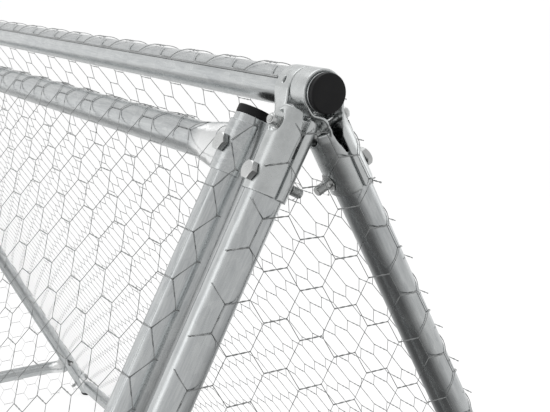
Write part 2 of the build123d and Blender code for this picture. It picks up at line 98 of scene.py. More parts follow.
# Galvanised tube: draw of streaks and clouds along it, then scale and detail of each noise
streak_draw = 14.0
cloud_draw = 2.2
tube_streak = (520.0, 4.0)
tube_cloud = (38.0, 3.0)
tube_grain = (1300.0, 2.0)
spangle_scale = 150.0
tone_shares = (0.55, 0.30, 0.15)     # streak, cloud and spangle in the colour
gloss_shares = (0.45, 0.55)          # grain and cloud in the roughness
relief_shares = (0.5, 0.5)           # streak and grain in the relief
tube_dark = (0.50, 0.52, 0.53, 1.0)
tube_light = (0.70, 0.72, 0.72, 1.0)
tube_rough = (0.16, 0.32)
tube_relief = (0.0002, 0.35)         # depth and strength
noise_span = (0.3, 0.7)              # where most of a noise's values lie

# Painted highlight on a rail where the press has flattened it, short of its saddle ends
highlight_inset = 0.044
highlight_half = 0.014
highlight_fade = 0.016
painted_highlight_colour = (0.94, 0.95, 0.95, 1.0)

# Zinc plate: dark and light colour, roughness, and scale of the tooling marks
bracket_plate = ((0.57, 0.59, 0.59, 1.0), (0.72, 0.74, 0.74, 1.0), (0.20, 0.32), 260.0)
fastener_plate = ((0.62, 0.63, 0.63, 1.0), (0.76, 0.77, 0.76, 1.0), (0.22, 0.34), 900.0)
wire_plate = ((0.35, 0.36, 0.36, 1.0), (0.52, 0.53, 0.53, 1.0), (0.30, 0.45), 900.0)
plate_cloud = (55.0, 4.0)
plate_mark_detail = 2.0
plate_shares = (0.7, 0.3)            # cloud and tooling marks in colour and roughness
plate_relief = (0.00015, 0.10)

# Moulded black plastic
plastic_grain = (1600.0, 3.0)
plastic_cloud = (60.0, 3.0)
plastic_dark = (0.011, 0.011, 0.012, 1.0)
plastic_light = (0.017, 0.017, 0.018, 1.0)
plastic_rough = (0.42, 0.58)
plastic_relief = (0.0001, 0.3)
plastic_gloss = 0.25

# Places along a slope, measured from the ridge axis, and along the ridge
upper_bolt = 0.040
lower_bolt = 0.091
tail_end = 0.107
side_rail_rise = 0.058
gable_rail_rise = 0.136
side_rail_s = foot_s - side_rail_rise
gable_rail_s = foot_s - gable_rail_rise
door_top_s = 0.073
door_bottom_s = side_rail_s - door_top_s
stile_offset = 0.071
stile_y = leg_y - stile_offset
stile_overrun = 0.0342
stile_top_s = door_top_s - stile_overrun
stile_bottom_s = door_bottom_s + stile_overrun
latch_s = 0.700
hinge_y = 0.800
hinge_bolt_reach = 0.0365
hinge_bolt_s = door_bottom_s + hinge_bolt_reach
loop_half = 0.0246
saddle_half = 0.0265
hinge_half = 0.019

# Hexagon netting, read off the photograph: wire, twisted sides and spacing
wire_r = 0.00045
wire_merge = wire_r / 50
twist_turns = 1.5
slope_twist = 0.0275
slope_row = 0.0466
door_column = 0.04355
door_row = 0.0475
gable_twist = 0.0255
gable_column = 0.0400
gable_row = 0.0497
spare_copies = 3

# How the netting is laid: what it clears, and how it bends round a tube
net_clearance = 0.0002
net_lay = tube_r + 2 * wire_r + net_clearance
bracket_lift = 0.0033
saddle_lift = 0.0022
lift_fade = 0.012
lift_start = 3 * lift_fade
bolt_clear = 0.0112
loop_clear = 0.004
strap_clear = 0.025
cut_margin = 2 * slope_twist
ground_gap = 0.012
bend_length = 0.008
bend_cuts = 3
net_foot = (ridge_height - ground_gap + net_lay * slope_sin) / slope_cos

# Right netting: its edge over the ridge, the wire ends past the legs, and the pull towards the legs
ridge_wrap = 0.0415
ridge_spring = 0.0011
ridge_crest = 0.0215
right_first_row = 0.0225
right_columns = 56
stub_reach = 0.0185
stub_middle = 0.0105
stub_ragged = 0.0030
stub_waves = (61.0, 143.0)
leg_pull = 0.0247
pull_reach = 0.14
pull_middle = 0.50
right_column = 2 * (leg_y + stub_middle) / right_columns

# Door netting: its wrap round stiles and rails, and its stretch downwards
stile_wrap = 0.030
rail_wrap = 0.034
door_phase = 0.161
door_first_row = 0.0690
door_stretch = 0.084
stretch_from = 0.164
stretch_ease = 0.038

# Gable netting: its top, and its wrap round the left and right legs
gable_top = 0.026
gable_phase = -0.0095
gable_first_row = 0.1361
left_wrap = 0.024
right_wrap = 0.040

# Pattern of each netting: column, row, length of a twisted side and steps along it
right_pattern = (right_column, slope_row, slope_twist, 4)
door_pattern = (door_column, door_row, slope_twist, 5)
gable_pattern = (gable_column, gable_row, gable_twist, 7)

# Bolts and nuts: radii, sizes across flats, heights and threads
bolt_r = 0.0050
bolt_flats = 0.0170
bolt_head = 0.0064
bolt_nut = 0.0080
bolt_pitch = 0.0015
thread_out = 0.0080
small_r = 0.0040
small_flats = 0.0130
small_head = 0.0053
small_nut = 0.0060
small_pitch = 0.00125
small_thread_out = 0.0016
collar_r = 0.0059
collar_h = 0.0036
collar_round = 0.0012
collar_arc = (30, 60, 90)
washer_lip = 0.0004
washer_share = 0.47                  # radius of the washer face over the flats
crown_share = 0.48                   # radius where the corners begin to be turned off, over the flats
crown_angle = math.radians(30)
bore_play = 1.01                     # bore over bolt radius
thread_depth = 0.6                   # over the pitch, as the crest and the lead
thread_crest = (0.42, 0.58)
thread_lead = 1.5
spare_turns = 3

# Heights of bolt seats over a tube's axis
fit_gap = 0.0001
bracket_sheet = 0.0030
saddle_sheet = 0.0020
bar_height = 0.0044
seat_r = tube_r + fit_gap
tail_r = seat_r + bracket_sheet
saddle_r = seat_r + saddle_sheet
pivot_seat = tail_r + bar_height
upper_head_seat = 0.0106
upper_nut_seat = 0.0172
hinge_seat = 0.0035

# Moulded caps: dished head with a rounded rim, groove at the tube, plug with a bevelled end
cap_r = tube_r - fit_gap
ridge_cap_head = 0.0074
stile_cap_head = 0.0090
cap_round = 0.0016
cap_arc = (90, 68, 45, 22, 0)
cap_dish = 0.0003
cap_dish_rim = 0.0001
cap_dish_share = 0.55
cap_lip = 0.0009
cap_plug_wall = 0.0016
cap_plug_r = tube_r - cap_plug_wall
cap_plug = 0.0220
cap_plug_bevel = 0.0008

# How finely round pieces are turned, and how near points count as one or as lying on a plane
round_steps = 48
rod_steps = 24
thread_steps = 20
cap_steps = 72
same_point = 1e-6
on_plane = 1e-7

# Rounded edges of rail saddles and tube rims, and the angles that count as flat, sharp and smooth
saddle_round = 0.0008
rim_round = 0.0007
round_segments = 3
flat_angle = math.radians(0.2)
sharp_angle = math.radians(50)
smooth_angle = math.radians(40)
crisp_angle = math.radians(30)

# How closely pressed sheet is meshed, how far its edges are softened, and the share of faces kept
sheet_voxel = 0.0008
sheet_rounds = 8
sheet_ease = 0.5
sheet_keep = 0.45

# Where a ridge bracket's press work is fuller than its plain solid
strap_ease = 0.0034
strap_middle = 0.0160
strap_half = 0.0130
strap_depth = (0.004, 0.010)
step_rise = 0.0015
step_middle = 0.0390
step_half = 0.0100
step_across = (0.008, 0.016)
shoulder_top = 0.026
shoulder_run = 0.020
shoulder_rise = 0.0038
shoulder_across = (0.0, 0.006)
shoulder_corner = 0.009
shoulder_fall = 30.0


class NodeBench:
    """Nodes of a finish or of the backdrop, with short ways to add them."""

    def __init__(self, tree):
        self.tree = tree

    def add(self, kind, inputs=None, **settings):
        """Adds a node and fills its inputs, each with a value or with another node's output."""
        node = self.tree.nodes.new(kind)
        for key, value in settings.items():
            setattr(node, key, value)
        for key, value in (inputs or {}).items():
            if isinstance(value, bpy.types.NodeSocket):
                self.tree.links.new(value, node.inputs[key])
            else:
                node.inputs[key].default_value = value
        return node

    def link(self, output, node, socket):
        """Leads an output to a node's socket."""
        self.tree.links.new(output, node.inputs[socket])

    def grain_coordinates(self, turn=(0.0, 0.0, 0.0), draw=1.0):
        """Object coordinates turned so that a streak runs along local X, and drawn out along it."""
        place = self.add("ShaderNodeTexCoord").outputs["Object"]
        inputs = {"Vector": place, "Rotation": turn, "Scale": (draw, 1.0, 1.0)}
        return self.add("ShaderNodeMapping", inputs, vector_type="TEXTURE").outputs["Vector"]

    def axis(self, name, coordinates="Object"):
        """One axis of the coordinates."""
        place = self.add("ShaderNodeTexCoord").outputs[coordinates]
        return self.add("ShaderNodeSeparateXYZ", {"Vector": place}).outputs[name]

    def noise(self, vector, scale, detail):
        """Soft noise of a scale and detail."""
        inputs = {"Vector": vector, "Scale": scale, "Detail": detail}
        return self.add("ShaderNodeTexNoise", inputs).outputs["Fac"]

    def ramp(self, value, levels, span):
        """Maps a span of values on to two levels, clamped."""
        inputs = {"Value": value, "From Min": span[0], "From Max": span[1],
                  "To Min": levels[0], "To Max": levels[1]}
        return self.add("ShaderNodeMapRange", inputs).outputs["Result"]

    def reckon(self, operation, first, second=0.0):
        """Sum, product or other operation on one or two numbers."""
        return self.add("ShaderNodeMath", {0: first, 1: second}, operation=operation).outputs["Value"]

    def weighted(self, shares, *values):
        """Sum of values, each times its share."""
        products = [self.reckon("MULTIPLY", value, share) for value, share in zip(values, shares)]
        total = products[0]
        for product in products[1:]:
            total = self.reckon("ADD", total, product)
        return total

    def mix(self, factor, first, second):
        """Colour between two colours."""
        inputs = {"Factor": factor, "A": first, "B": second}
        return self.add("ShaderNodeMix", inputs, data_type="RGBA").outputs["Result"]

    def emboss(self, shader, height, depth, strength):
        """Gives a shader a fine relief."""
        inputs = {"Height": height, "Distance": depth, "Strength": strength}
        self.link(self.add("ShaderNodeBump", inputs).outputs["Normal"], shader, "Normal")


def new_finish(name):
    """A new material, its shader and its node bench."""
    material = bpy.data.materials.new(name)
    material.use_nodes = True
    shader = material.node_tree.nodes["Principled BSDF"]
    return material, shader, NodeBench(material.node_tree)


def with_painted_highlight(bench, colour, axis, end):
    """Paints a highlight into a tube's colour where the press has flattened it, short of an end on an
    axis.
    """
    # Painted highlight: the colour turns near white over a band short of the tube's end
    reach = bench.reckon("ABSOLUTE", bench.axis(axis))
    offset = bench.reckon("ABSOLUTE", bench.reckon("SUBTRACT", reach, end - highlight_inset))
    bright = bench.ramp(offset, (1.0, 0.0), (highlight_half, highlight_half + highlight_fade))
    return bench.mix(bright, colour, painted_highlight_colour)


def galvanised_tube(name, turn, highlight_end=None):
    """Hot dipped tube: soft spangle, long rolling streaks and a fine grain, with a painted highlight at
    pressed ends.
    """
    material, shader, bench = new_finish(name)
    along = bench.grain_coordinates(turn, streak_draw)
    across = bench.grain_coordinates(turn, cloud_draw)
    streak = bench.noise(along, *tube_streak)
    cloud = bench.noise(across, *tube_cloud)
    grain = bench.noise(across, *tube_grain)
    spangle = bench.add("ShaderNodeTexVoronoi", {"Vector": across, "Scale": spangle_scale})
    flake = bench.add("ShaderNodeSeparateColor", {"Color": spangle.outputs["Color"]}).outputs["Red"]
    tone = bench.weighted(tone_shares, streak, cloud, flake)
    colour = bench.mix(bench.ramp(tone, (0.0, 1.0), noise_span), tube_dark, tube_light)
    # Painted highlight brightens the colour near the tube's flattened ends
    if highlight_end:
        colour = with_painted_highlight(bench, colour, *highlight_end)
    bench.link(colour, shader, "Base Color")
    gloss = bench.weighted(gloss_shares, grain, cloud)
    bench.link(bench.ramp(gloss, tube_rough, noise_span), shader, "Roughness")
    bench.emboss(shader, bench.weighted(relief_shares, streak, grain), *tube_relief)
    shader.inputs["Metallic"].default_value = 1.0
    return material


def zinc_plate(name, dark, light, rough, mark_scale):
    """Bright zinc plate on pressed or forged steel: faint clouding, fine tooling marks."""
    material, shader, bench = new_finish(name)
    place = bench.grain_coordinates()
    cloud = bench.noise(place, *plate_cloud)
    marks = bench.noise(place, mark_scale, plate_mark_detail)
    tone = bench.weighted(plate_shares, cloud, marks)
    bench.link(bench.mix(bench.ramp(tone, (0.0, 1.0), noise_span), dark, light), shader, "Base Color")
    bench.link(bench.ramp(tone, rough, noise_span), shader, "Roughness")
    bench.emboss(shader, marks, *plate_relief)
    shader.inputs["Metallic"].default_value = 1.0
    return material


def black_plastic(name):
    """Moulded black end plug with a fine matt texture."""
    material, shader, bench = new_finish(name)
    place = bench.grain_coordinates()
    grain = bench.noise(place, *plastic_grain)
    cloud = bench.ramp(bench.noise(place, *plastic_cloud), (0.0, 1.0), noise_span)
    bench.link(bench.mix(cloud, plastic_dark, plastic_light), shader, "Base Color")
    bench.link(bench.ramp(grain, plastic_rough, noise_span), shader, "Roughness")
    bench.emboss(shader, grain, *plastic_relief)
    shader.inputs["Specular IOR Level"].default_value = plastic_gloss
    return material


along_x = (0.0, 0.0, 0.0)
along_y = (0.0, 0.0, math.radians(90))
down_left = (0.0, -math.radians(90) + half_apex, 0.0)
down_right = (0.0, math.radians(90) - half_apex, 0.0)
ridge_finish = galvanised_tube("galvanised_ridge_tube", along_y)
# The rail finishes carry a painted highlight near their flattened ends
door_rail_finish = galvanised_tube("galvanised_door_rail", along_y, ("Y", stile_y))
side_rail_finish = galvanised_tube("galvanised_side_rail", along_y, ("Y", leg_y))
gable_rail_finish = galvanised_tube("galvanised_gable_rail", along_x, ("X", gable_rail_s * slope_sin))
left_leg_finish = galvanised_tube("galvanised_left_leg", down_left)
right_leg_finish = galvanised_tube("galvanised_right_leg", down_right)
bracket_zinc = zinc_plate("zinc_pressed_bracket", *bracket_plate)
fastener_zinc = zinc_plate("zinc_bolt_and_nut", *fastener_plate)
wire_zinc = zinc_plate("galvanised_net_wire", *wire_plate)
cap_plastic = black_plastic("black_moulded_cap")


def finish_for(node):
    """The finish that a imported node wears."""
    if "net" in node:
        return wire_zinc
    if "cap" in node or "foot" in node:
        return cap_plastic
    if "bolts" in node or "nuts" in node or "pivots" in node:
        return fastener_zinc
    if "bracket" in node or "strap" in node or "latch" in node:
        return bracket_zinc
    if node.startswith("leg") or node.startswith("door_stile"):
        return right_leg_finish if node.endswith("right") else left_leg_finish
    if node in ("base_rail_front", "base_rail_rear"):
        return gable_rail_finish
    if "rail" in node:
        return door_rail_finish if "door" in node else side_rail_finish
    return ridge_finish


for node_name, node_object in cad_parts.items():
    node_object.data.materials.clear()
    node_object.data.materials.append(finish_for(node_name))


def only(obj):
    """Makes one object the selected and active one."""
    bpy.ops.object.select_all(action="DESELECT")
    obj.select_set(True)
    bpy.context.view_layer.objects.active = obj
    return obj


def new_object(name, data):
    """A new object in the scene, alone selected."""
    piece = bpy.data.objects.new(name, data)
    bpy.context.collection.objects.link(piece)
    return only(piece)


def joined(name, pieces):
    """One object out of several."""
    bpy.ops.object.select_all(action="DESELECT")
    for piece in pieces:
        piece.select_set(True)
    bpy.context.view_layer.objects.active = pieces[0]
    if len(pieces) > 1:
        bpy.ops.object.join()
    whole = bpy.context.object
    whole.name = name
    return whole


@contextlib.contextmanager
def editing(obj):
    """Edit mode on an object, with all of it selected."""
    only(obj)
    bpy.ops.object.mode_set(mode="EDIT")
    bpy.ops.mesh.select_all(action="SELECT")
    yield
    bpy.ops.object.mode_set(mode="OBJECT")


def modify(obj, kind, **settings):
    """Adds a modifier with its settings and applies it."""
    modifier = only(obj).modifiers.new(kind.lower(), kind)
    for key, value in settings.items():
        setattr(modifier, key, value)
    bpy.ops.object.modifier_apply(modifier=modifier.name)


def repeat(obj, count, offset, merge=False):
    """Lines up copies of an object, and may join their ends."""
    modify(obj, "ARRAY", count=count, use_relative_offset=False, use_constant_offset=True,
           constant_offset_displace=offset, use_merge_vertices=merge, merge_threshold=wire_merge)


def trim(obj, point, outward):
    """Cuts off what lies beyond a plane and closes the cut."""
    with editing(obj):
        bpy.ops.mesh.bisect(plane_co=point, plane_no=outward, clear_outer=True, use_fill=True,
                            threshold=on_plane)


def boolean(obj, operation, tool):
    """Combines an object with a tool object and removes the tool."""
    modify(obj, "BOOLEAN", operation=operation, solver="EXACT", object=tool)
    bpy.data.objects.remove(tool)
    return obj


def hand_over(piece, body, finish, node):
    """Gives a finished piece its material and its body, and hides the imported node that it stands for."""
    piece.data.materials.clear()
    piece.data.materials.append(finish)
    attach(piece, body)
    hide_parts(node)


def smooth_step(value, start, end):
    """0 before start, 1 after end, with a soft change between."""
    share = min(max((value - start) / (end - start), 0.0), 1.0)
    return share * share * (3 - 2 * share)


def within(value, low, high, fade):
    """1 between two places, fading to 0 outside them."""
    return smooth_step(value, low - fade, low) * (1 - smooth_step(value, high, high + fade))


def at_saddle(value, middle):
    """1 along a saddle or latch plate about its middle, fading to 0 outside it."""
    return within(value, middle - saddle_half, middle + saddle_half, lift_fade)


def slope_axes(side):
    """Directions down a slope and out of the cage."""
    down = Vector((side * slope_sin, 0.0, -slope_cos))
    out = Vector((side * slope_cos, 0.0, slope_sin))
    return down, out


def tube_frame(down, out, y, s):
    """Place on a sloping tube's axis: X down the tube, Z in the given direction out of it."""
    place = Matrix((down, out.cross(down), out)).transposed().to_4x4()
    place.translation = Vector((0.0, y, ridge_height)) + down * s
    return place


def slope_frame(side, y, s):
    """Place on a slope's tube axis, facing out of the slope."""
    return tube_frame(*slope_axes(side), y, s)


def gable_frame(side, end, s):
    """Place on a leg's axis, facing out of its gable."""
    down = slope_axes(side)[0]
    return tube_frame(down, Vector((0.0, float(end), 0.0)), end * leg_y, s)


def wire_period(column, row, twist, twist_steps):
    """One period of one wire: a twisted side, a slant, the next twisted side and a slant back."""
    points = [(-column / 2, row / 4, 0.0)]
    for level, lead in ((0, 0.0), (1, math.pi)):
        for step in range(twist_steps + 1):
            share = step / twist_steps
            angle = lead + 2 * math.pi * twist_turns * share
            points.append((level * column + (share - 0.5) * twist,
                           level * row / 2 + wire_r * math.cos(angle),
                           wire_r * math.sin(angle)))
    points.append((1.5 * column, row / 4, 0.0))
    return points


def wire_along(name, points):
    """Mesh of one wire through the given points."""
    curve = bpy.data.curves.new(name, "CURVE")
    curve.dimensions = "3D"
    curve.twist_mode = "Z_UP"
    curve.bevel_depth = wire_r
    curve.bevel_resolution = 0
    spline = curve.splines.new("POLY")
    spline.points.add(len(points) - 1)
    for point, place in zip(spline.points, points):
        point.co = (*place, 1.0)
    new_object(name, curve)
    bpy.ops.object.convert(target="MESH")
    return bpy.context.object


def flat_netting(name, pattern, low, high, phase):
    """Flat netting from corner to corner; one twisted side has its middle at the phase point."""
    column, row = pattern[:2]
    net = wire_along(name, wire_period(*pattern))
    columns = math.ceil((high[0] - low[0]) / (2 * column)) + spare_copies
    rows = math.ceil((high[1] - low[1]) / row) + spare_copies
    start = (phase[0] - 2 * column * (math.ceil((phase[0] - low[0]) / (2 * column)) + 1),
             phase[1] - row * (math.ceil((phase[1] - low[1]) / row) + 1))
    repeat(net, columns, (2 * column, 0.0, 0.0), merge=True)
    repeat(net, 2, (column, row / 2, 0.0))
    repeat(net, rows, (0.0, row, 0.0))
    net.data.transform(Matrix.Translation((*start, 0.0)))
    for corner, sign in ((low, -1.0), (high, 1.0)):
        trim(net, (*corner, 0.0), (sign, 0.0, 0.0))
        trim(net, (*corner, 0.0), (0.0, sign, 0.0))
    return net


def wrapped(distance, reach):
    """Where a sheet that leaves a tube's crest comes to lie: along the tangent, and above the axis."""
    if distance <= 0:
        return distance, reach
    angle = distance / reach
    return reach * math.sin(angle), reach * math.cos(angle)


def around(middle, half):
    """Square about a point, as two corners."""
    return (middle[0] - half, middle[1] - half), (middle[0] + half, middle[1] + half)


def faces_within(faces, low, high, beyond):
    """Faces whose middle lies in a rectangle, widened on all sides."""
    found = []
    for face in faces:
        middle = face.calc_center_median()
        if all(low[i] - beyond < middle[i] < high[i] + beyond for i in (0, 1)):
            found.append(face)
    return found


def cut_out(net, rectangles):
    """Takes rectangles out of flat netting and closes the wire ends."""
    mesh = bmesh.new()
    mesh.from_mesh(net.data)
    for low, high in rectangles:
        near = faces_within(mesh.faces, low, high, cut_margin)
        part = near + list({edge for face in near for edge in face.edges})
        part += list({vertex for face in near for vertex in face.verts})
        for corner, axis in ((low, 0), (low, 1), (high, 0), (high, 1)):
            normal = [0.0, 0.0, 0.0]
            normal[axis] = 1.0
            cut = bmesh.ops.bisect_plane(mesh, geom=part, dist=on_plane, plane_co=(*corner, 0.0),
                                         plane_no=normal)
            part = cut["geom"]
        pieces = [piece for piece in part if isinstance(piece, bmesh.types.BMFace)]
        bmesh.ops.delete(mesh, geom=faces_within(pieces, low, high, 0.0), context="FACES")
    open_edges = [edge for edge in mesh.edges if edge.is_boundary]
    bmesh.ops.holes_fill(mesh, edges=open_edges, sides=0)
    mesh.to_mesh(net.data)
    mesh.free()


def hang_net(net, body, node, place, on_tube):
    """Moves each point of flat netting to its place, with more points where it lies round a tube."""
    mesh = bmesh.new()
    mesh.from_mesh(net.data)
    bending = []
    for edge in mesh.edges:
        middle = (edge.verts[0].co + edge.verts[1].co) / 2
        if edge.calc_length() > bend_length and on_tube(middle.x, middle.y):
            bending.append(edge)
    bmesh.ops.subdivide_edges(mesh, edges=bending, cuts=bend_cuts, use_grid_fill=True)
    mesh.to_mesh(net.data)
    mesh.free()
    for vertex in net.data.vertices:
        vertex.co = place(*vertex.co)
    with editing(net):
        bpy.ops.mesh.normals_make_consistent(inside=False)
    bpy.ops.object.shade_smooth()
    hand_over(net, body, wire_zinc, node)


def ragged_ends(net, end):
    """Clips the wire ends past the legs to uneven lengths."""

    def slide(vertex):
        wave = math.sin(stub_waves[0] * vertex.co.y) + math.sin(stub_waves[1] * vertex.co.y)
        return math.copysign(stub_ragged * wave, vertex.co.x) if abs(vertex.co.x) > leg_y else 0.0

    for vertex in net.data.vertices:
        vertex.co.x += slide(vertex)
    trim(net, (-end, 0.0, 0.0), (-1.0, 0.0, 0.0))
    trim(net, (end, 0.0, 0.0), (1.0, 0.0, 0.0))
    for vertex in net.data.vertices:
        vertex.co.x -= slide(vertex)


def pull_to_legs(net):
    """Draws the right netting's twisted sides towards the legs, as on a net pulled tight."""
    for vertex in net.data.vertices:
        u = vertex.co.x
        pull = leg_pull * (1 - math.exp(-max(leg_y - abs(u), 0.0) / pull_reach))
        vertex.co.x += math.copysign(pull * smooth_step(abs(u), 0.0, pull_middle), u)


def right_netting():
    """Slope netting from the ground over the ridge, its twisted ends standing past the legs."""
    end = leg_y + stub_reach
    reach = end + 2 * stub_ragged
    top_row = right_first_row - slope_row
    edge_row = top_row - slope_row / 2
    wire_row = edge_row - 2 * wire_r
    net = flat_netting("right_netting", right_pattern, (-reach, wire_row), (reach, net_foot),
                       (-leg_y - stub_middle, right_first_row))
    ragged_ends(net, end)
    pull_to_legs(net)
    loop_edge = leg_y - loop_half - loop_clear
    bend = loop_edge - lift_fade
    edge_wire = wire_along("edge_wire", [(u, wire_row, 0.0) for u in (-loop_edge, -bend, bend, loop_edge)])
    net = joined("right_netting", [net, edge_wire])
    holes = []
    for sign in (-1, 1):
        near, far = sorted((sign * loop_edge, sign * reach))
        holes.append(((near, 2 * edge_row), (far, loop_clear)))
        for at in (side_rail_s, upper_bolt, lower_bolt):
            holes.append(around((sign * leg_y, at), bolt_clear))
    cut_out(net, holes)
    down, out = slope_axes(1)

    def place(u, v, h):
        if v < top_row:
            v = top_row + (v - top_row) * (ridge_wrap + top_row) / (top_row - edge_row)
        at_leg = smooth_step(abs(u), bend, loop_edge)
        lift = bracket_lift * at_leg * within(v, lift_fade, tail_end, lift_fade)
        lift += saddle_lift * at_leg * at_saddle(v, side_rail_s)
        lift += ridge_spring * within(v, -ridge_crest, -ridge_crest, ridge_crest) * (1 - at_leg)
        up, high = wrapped(-v, net_lay + lift + h)
        return Vector((0.0, u, ridge_height)) - up * down + high * out

    def on_tube(u, v):
        return v < 0

    hang_net(net, "frame", "right_net", place, on_tube)


def stretch_down(net):
    """Draws the door netting's rows out below a height."""
    for vertex in net.data.vertices:
        drawn = max(vertex.co.y - stretch_from, 0.0)
        vertex.co.y += door_stretch * (drawn - stretch_ease * (1 - math.exp(-drawn / stretch_ease)))


def door_netting():
    """Door netting, wrapped round the stiles and both rails."""
    side = stile_y + stile_wrap
    foot = door_bottom_s + rail_wrap
    unstretched = (foot + door_stretch * (stretch_from + stretch_ease)) / (1 + door_stretch)
    net = flat_netting("door_netting", door_pattern, (-side, door_top_s - rail_wrap), (side, unstretched),
                       (-leg_y + door_phase, door_first_row))
    stretch_down(net)
    holes = []
    for sign in (-1, 1):
        for at in (door_top_s, door_bottom_s):
            holes.append(around((sign * stile_y, at), bolt_clear))
    for at in (-hinge_y, 0.0, hinge_y):
        holes.append(((at - hinge_half, door_bottom_s - strap_clear),
                      (at + hinge_half, door_bottom_s + 2 * rail_wrap)))
    cut_out(net, holes)
    down, out = slope_axes(-1)

    def place(u, v, h):
        beside = abs(u) - stile_y
        at_stile = smooth_step(beside, -lift_start, -lift_fade)
        lift = 0.0
        for at in (door_top_s, door_bottom_s):
            lift += saddle_lift * at_stile * at_saddle(v, at)
        across, high = wrapped(beside, net_lay + lift + h)
        along = v
        if beside <= 0 and v < door_top_s:
            back, high = wrapped(door_top_s - v, net_lay + lift + h)
            along = door_top_s - back
        if beside <= 0 and v > door_bottom_s:
            back, high = wrapped(v - door_bottom_s, net_lay + lift + h)
            along = door_bottom_s + back
        y = math.copysign(stile_y + across, u)
        return Vector((0.0, y, ridge_height)) + along * down + high * out

    def on_tube(u, v):
        return abs(u) > stile_y or v < door_top_s or v > door_bottom_s

    hang_net(net, "door", "door_net", place, on_tube)


def gable_netting(end, node):
    """Gable netting in front of the legs, its cut ends bent round them."""
    reach = net_foot * math.tan(half_apex) + right_wrap
    net = flat_netting(node.replace("net", "netting"), gable_pattern, (-reach, gable_top),
                       (reach, ridge_height - ground_gap), (gable_phase, gable_first_row))
    holes = []
    for sign, wrap in ((-1, left_wrap), (1, right_wrap)):
        outward = Vector((sign * slope_cos, -slope_sin, 0.0))
        trim(net, outward * wrap, outward)
        bolt = Vector((sign * slope_sin, slope_cos)) * gable_rail_s
        holes.append(around(bolt, bolt_clear))
    cut_out(net, holes)

    def place(u, v, h):
        side = math.copysign(1.0, u)
        along = abs(u) * slope_sin + v * slope_cos
        beside = abs(u) * slope_cos - v * slope_sin
        near = smooth_step(beside, -lift_start - tube_r, -tube_r)
        lift = bracket_lift * (1 - smooth_step(along, tail_end, tail_end + 2 * lift_fade))
        lift += saddle_lift * near * at_saddle(along, gable_rail_s)
        if side < 0:
            lift += bracket_lift * near * at_saddle(along, latch_s)
        across, front = wrapped(beside, net_lay + lift + h)
        x = side * (along * slope_sin + across * slope_cos)
        z = ridge_height - along * slope_cos + across * slope_sin
        return Vector((x, end * (leg_y + front), z))

    def on_tube(u, v):
        return abs(u) * slope_cos > v * slope_sin

    hang_net(net, "frame", node, place, on_tube)


right_netting()
door_netting()
for end, tag in ends:
    gable_netting(end, f"gable_net_{tag}")


def profile_object(name, profile):
    """Line through (radius, height) points, to be turned or wound about Z."""
    mesh = bpy.data.meshes.new(name)
    links = [(i, i + 1) for i in range(len(profile) - 1)]
    mesh.from_pydata([(r, 0.0, z) for r, z in profile], links, [])
    return new_object(name, mesh)


def turned(name, profile, steps=round_steps):
    """Solid of revolution about Z from (radius, height) points that start and end on the axis."""
    piece = profile_object(name, profile)
    with editing(piece):
        bpy.ops.mesh.spin(steps=steps, angle=2 * math.pi, center=(0.0, 0.0, 0.0), axis=(0.0, 0.0, 1.0))
        bpy.ops.mesh.select_all(action="SELECT")
        bpy.ops.mesh.remove_doubles(threshold=same_point)
        bpy.ops.mesh.normals_make_consistent(inside=False)
    return piece


def rod(name, radius, low, high, steps=rod_steps):
    """Plain round rod along Z."""
    return turned(name, [(0.0, low), (radius, low), (radius, high), (0.0, high)], steps)


def hexagon(name, flats, low, high, crowns):
    """Hexagon block along Z, its corners turned off at the crowned ends."""
    bpy.ops.object.select_all(action="DESELECT")
    bpy.ops.mesh.primitive_cylinder_add(vertices=6, radius=flats / math.sqrt(3), depth=high - low,
                                        location=(0.0, 0.0, (low + high) / 2))
    block = bpy.context.object
    block.name = name
    bpy.ops.object.transform_apply(location=True)
    crown_r = crown_share * flats
    corner_r = flats
    fall = (corner_r - crown_r) * math.tan(crown_angle)
    profile = [(0.0, low)]
    profile += [(crown_r, low), (corner_r, low + fall)] if "low" in crowns else [(corner_r, low)]
    profile += [(corner_r, high - fall), (crown_r, high)] if "high" in crowns else [(corner_r, high)]
    profile += [(0.0, high)]
    return boolean(block, "INTERSECT", turned("crown", profile))


def threaded_rod(name, radius, pitch, start, end):
    """Threaded rod along Z with a bevelled tip at the end height; the start stays flat."""
    root_r = radius - thread_depth * pitch
    low = start - thread_lead * pitch
    crest_start, crest_end = thread_crest
    piece = profile_object(name, [(root_r, low), (radius, low + crest_start * pitch),
                                  (radius, low + crest_end * pitch), (root_r, low + pitch)])
    turns = math.ceil((end - start) / pitch) + spare_turns
    modify(piece, "SCREW", axis="Z", screw_offset=pitch, iterations=turns, steps=thread_steps,
           render_steps=thread_steps, use_merge_vertices=True, merge_threshold=same_point)
    with editing(piece):
        bpy.ops.mesh.remove_doubles(threshold=same_point)
    trim(piece, (0.0, 0.0, start), (0.0, 0.0, -1.0))
    trim(piece, (0.0, 0.0, end), (0.0, 0.0, 1.0))
    for vertex in piece.data.vertices:
        reach = math.hypot(vertex.co.x, vertex.co.y)
        limit = root_r + (end - vertex.co.z)
        if reach > limit:
            vertex.co.x *= limit / reach
            vertex.co.y *= limit / reach
    with editing(piece):
        bpy.ops.mesh.normals_make_consistent(inside=False)
    return piece


def bolt_blank(radius, flats, head, pitch, seat, grip, end):
    """Bolt along Z: head on the seat, plain shank down to the grip height, thread to the end."""
    block = hexagon("head", flats, seat + washer_lip, seat + head, ("high",))
    lip = rod("lip", washer_share * flats, seat, seat + washer_lip, round_steps)
    shank = rod("shank", radius, grip, seat)
    thread = threaded_rod("thread", radius, pitch, end, grip)
    flip = Matrix.Rotation(math.pi, 4, "X") @ Matrix.Translation((0.0, 0.0, -(end + grip)))
    thread.data.transform(flip)
    return joined("bolt", [block, lip, shank, thread])


def bored(block, radius, low, high):
    """Bores a nut for its bolt, right through."""
    return boolean(block, "DIFFERENCE", rod("bore", bore_play * radius, low - radius, high + radius))


def nut_blank(radius, flats, low, high):
    """Plain nut along Z with both ends crowned and a bore."""
    return bored(hexagon("nut", flats, low, high, ("low", "high")), radius, low, high)


